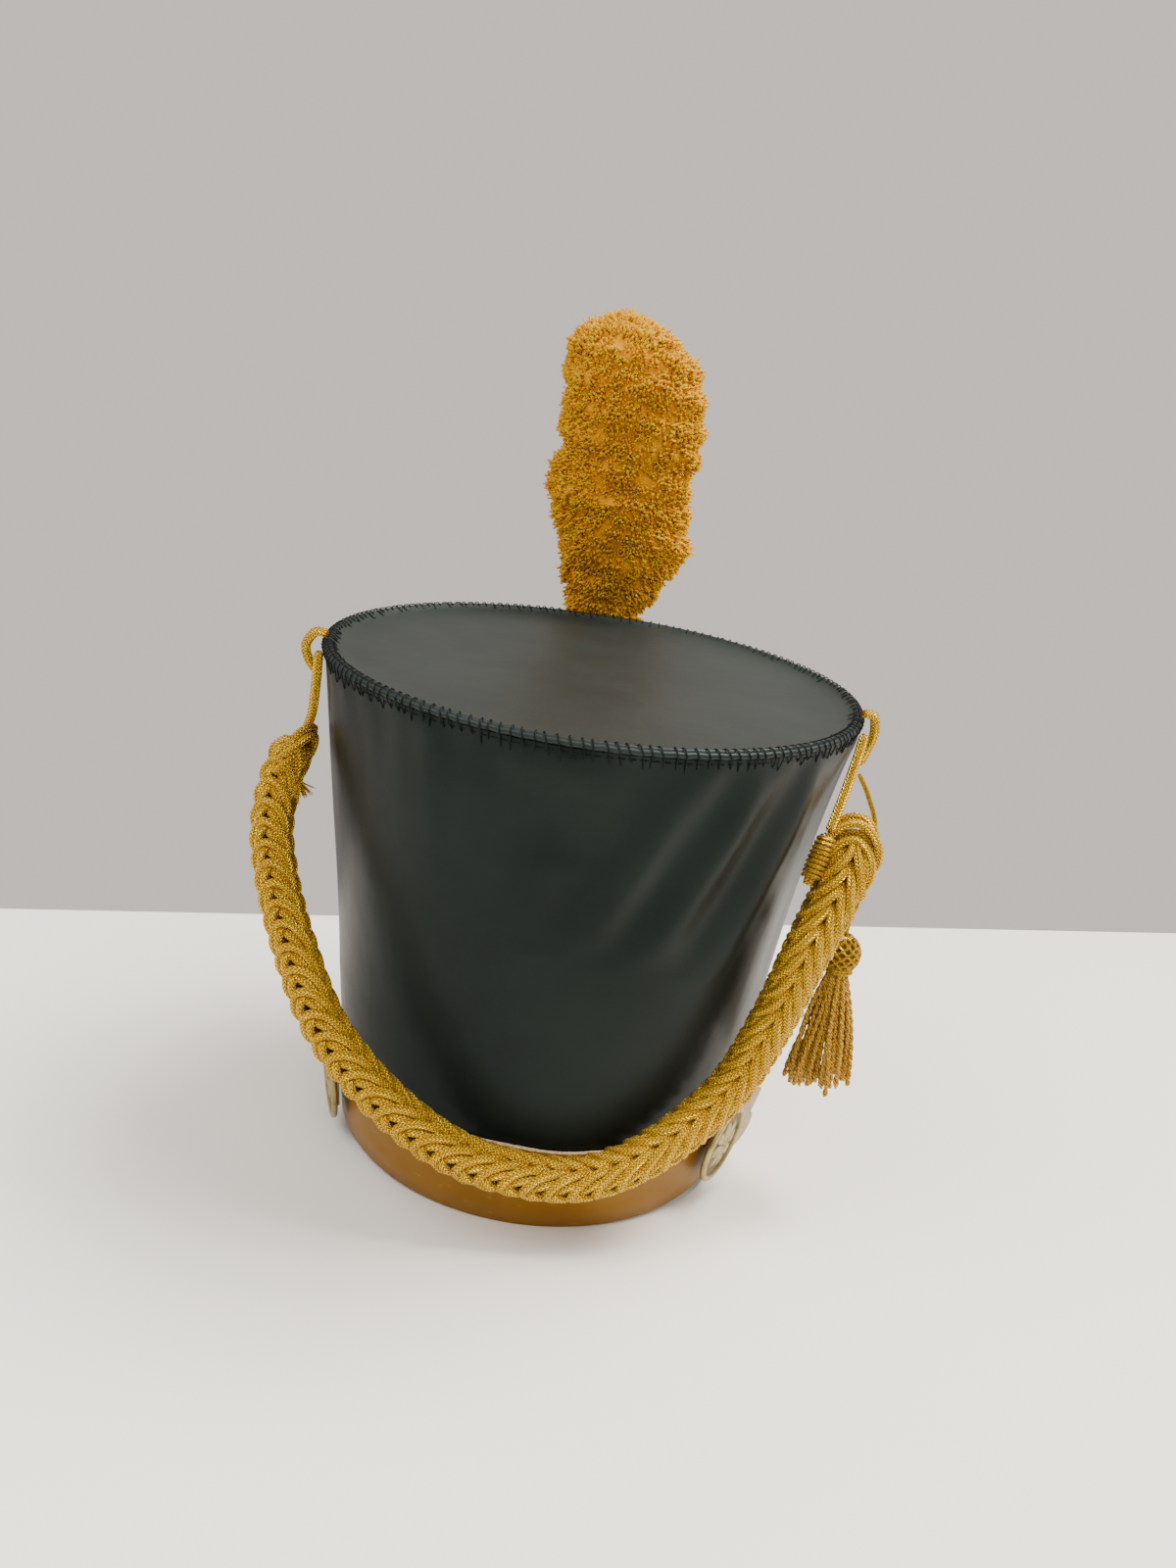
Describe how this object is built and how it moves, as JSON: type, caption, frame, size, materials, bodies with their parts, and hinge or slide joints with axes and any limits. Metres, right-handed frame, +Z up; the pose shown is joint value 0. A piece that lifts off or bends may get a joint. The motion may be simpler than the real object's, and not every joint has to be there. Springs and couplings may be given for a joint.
{
  "type": "shako hat",
  "caption": "Tall flared leather shako with a flat stitched top, gold head band, front peak, wool plume, hanging plaited cord, tassel and side ornaments.",
  "frame": {"origin": "on the ground under the middle of the resting hat, without its cords", "axes": "+Z up from the ground, the hat faces -Y, its left side is +X"},
  "size_m": [0.2795, 0.2857, 0.4063],
  "materials": {
    "crown_leather": "dark green-black smooth leatherette with a satin sheen",
    "gold_leather": "smooth gold-tan leatherette with a pale cut edge",
    "plume_wool": "fluffy golden yellow wool",
    "gold_cord": "metallic gold knitted cord",
    "gold_yarn": "matt old-gold twisted yarn",
    "pale_gold": "pale antique gold plating, slightly worn",
    "bronze_plate": "plain satin bronze-gold sheet"
  },
  "bodies": {
    "root": {"crown_shell": "crown_leather", "crown_top": "crown_leather", "head_band": "gold_leather", "peak": "crown_leather", "plume": "plume_wool", "plume_socket": "crown_leather", "festoon": "gold_cord", "hanger_left": "gold_cord", "hanger_right": "gold_cord", "loop_left": "gold_cord", "loop_right": "gold_cord", "binding": "gold_cord", "tassel_string": "gold_cord", "tassel_head": "gold_cord", "tassel_fringe": "gold_yarn", "medallion_right": "pale_gold", "medallion_left": "pale_gold", "side_plate_right": "bronze_plate", "side_plate_left": "bronze_plate"}
  },
  "joints": []
}
